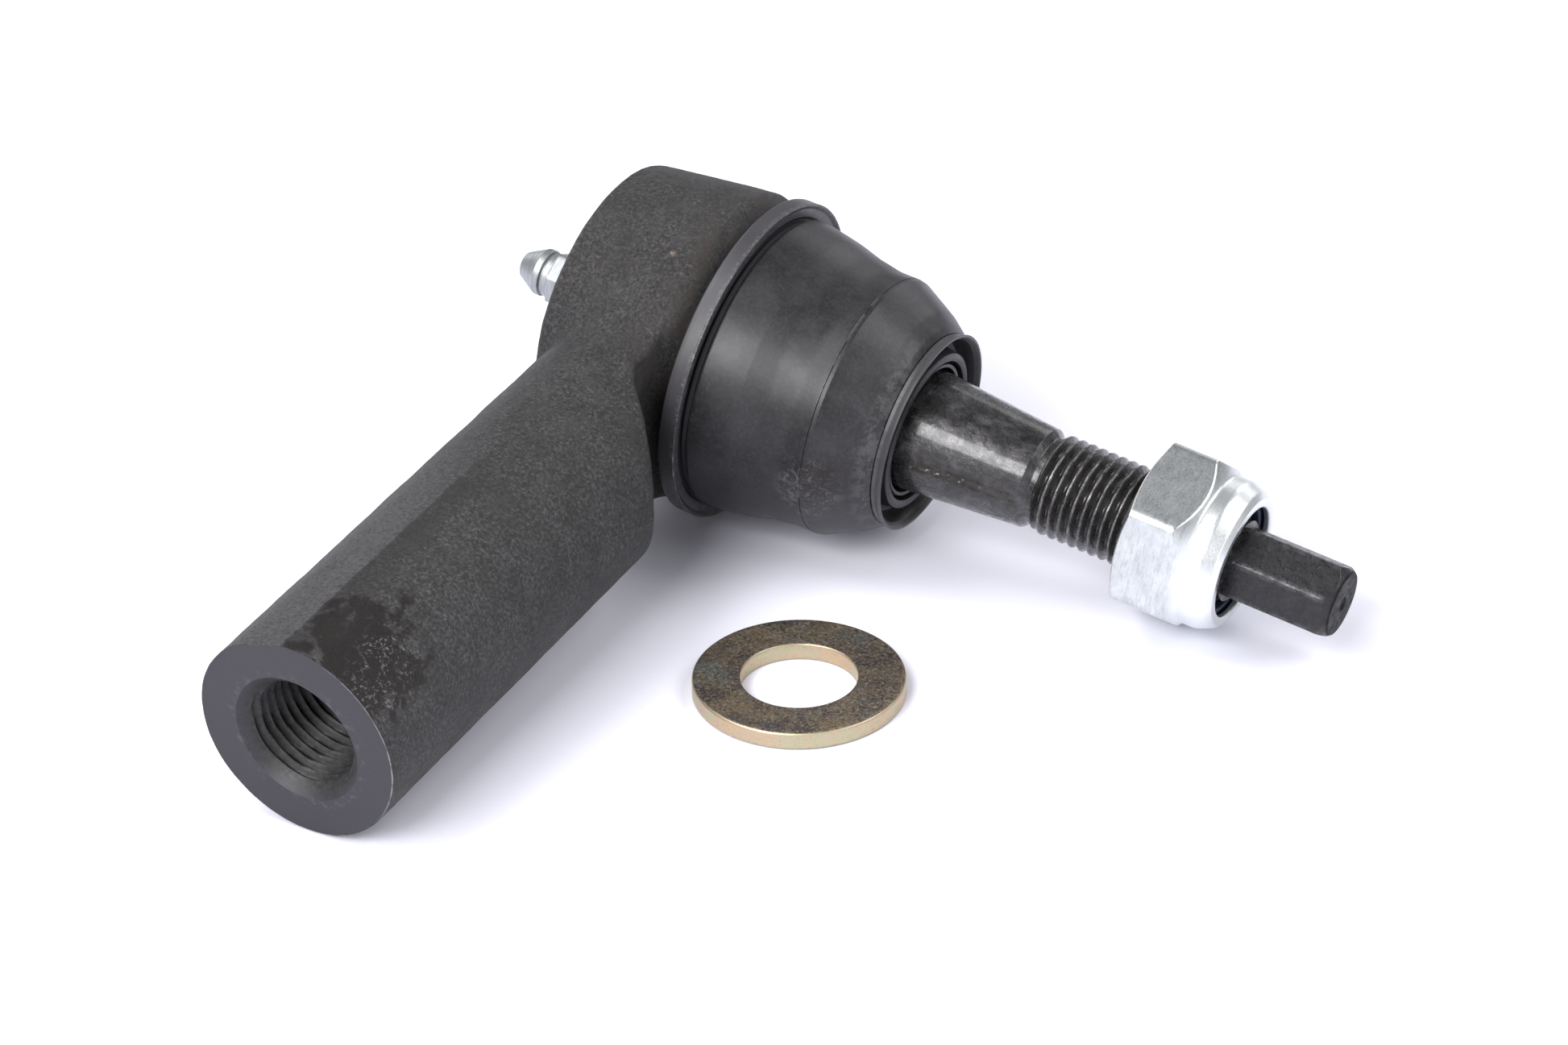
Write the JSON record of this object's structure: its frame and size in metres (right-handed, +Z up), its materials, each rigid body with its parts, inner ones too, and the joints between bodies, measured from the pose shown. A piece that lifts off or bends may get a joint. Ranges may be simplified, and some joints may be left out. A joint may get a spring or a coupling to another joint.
{
  "type": "tie rod end",
  "caption": "Outer tie rod end: forged housing with an internally threaded shank, greasable ball joint, tapered stud with a rubber boot, nylon-insert lock nut and a loose flat washer.",
  "frame": {"origin": "bottom centre of the whole part's box, on the surface that it lies on", "axes": "+X along the stud's direction over the surface, towards its threaded end; -Y along the shank towards its open end; +Z up"},
  "size_m": [0.1254, 0.1218, 0.046],
  "materials": {
    "forged_black": "rough forged skin, dark phosphate and oil; end face machined",
    "cover_steel": "pressed steel, dark phosphate",
    "spring_steel": "plain spring steel",
    "bearing_acetal": "natural acetal",
    "bright_zinc": "bright zinc plate",
    "black_oxide": "oiled black oxide, satin; worn bright on the thread's crests",
    "blue_nylon": "dark blue nylon",
    "boot_rubber": "satin black moulded rubber",
    "yellow_zinc": "yellow chromate zinc plate, olive and iridescent"
  },
  "bodies": {
    "housing": {"housing": "forged_black", "end_cover_plate": "cover_steel", "cover_seal": "boot_rubber", "preload_spring": "spring_steel", "rear_ball_seat": "bearing_acetal", "front_bearing": "bearing_acetal", "grease_fitting": "bright_zinc", "fitting_spring": "spring_steel", "boot_base_ring": "boot_rubber", "boot_base_insert": "cover_steel", "boot_base_clip": "spring_steel"},
    "check_ball": {"fitting_check_ball": "spring_steel"},
    "swing_carrier": {"boot_sleeve": "boot_rubber"},
    "boot_collar": {"boot_cone": "boot_rubber", "boot_lip_seal": "boot_rubber", "boot_lip_insert": "cover_steel"},
    "stud": {"ball_stud": "black_oxide"},
    "nut_carrier": {"nut_nylon_insert": "blue_nylon"},
    "nut": {"lock_nut": "bright_zinc"},
    "washer": {"flat_washer": "yellow_zinc"}
  },
  "joints": [
    {"name": "stud_swing_side", "type": "hinge", "parent": "housing", "child": "swing_carrier", "pos_m": [-0.03331, 0.038, 0.02401], "axis": [0.1524, -0.0906, 0.9842], "range_deg": [-16, 16], "deforming": ["boot_sleeve"]},
    {"name": "stud_swing_length", "type": "hinge", "parent": "swing_carrier", "child": "boot_collar", "pos_m": [-0.03331, 0.038, 0.02401], "axis": [0.0139, 0.9959, 0.0896], "range_deg": [-16, 16], "deforming": ["boot_cone"]},
    {"name": "stud_spin", "type": "hinge", "parent": "boot_collar", "child": "stud", "pos_m": [-0.03331, 0.038, 0.02401], "axis": [0.9882, 0, -0.153], "continuous": true},
    {"name": "nut_travel", "type": "slide", "parent": "stud", "child": "nut_carrier", "axis": [0.9882, 0, -0.153], "range_m": [-0.012, 0.012]},
    {"name": "nut_turn", "type": "hinge", "parent": "nut_carrier", "child": "nut", "pos_m": [-0.03331, 0.038, 0.02401], "axis": [0.9882, 0, -0.153], "range_deg": [-2870, 2870]},
    {"name": "check_ball_press", "type": "slide", "parent": "housing", "child": "check_ball", "axis": [0.9882, 0, -0.153], "range_m": [0, 0.0006], "stiffness_N_per_m": 400},
    {"name": "washer_lift", "type": "slide", "parent": "housing", "child": "washer", "axis": [0, 0, 1], "range_m": [0, 0.04]}
  ],
  "couplings": [
    {"joint": "nut_travel", "follows": "nut_turn", "m_per_rad": 0.00023873}
  ]
}
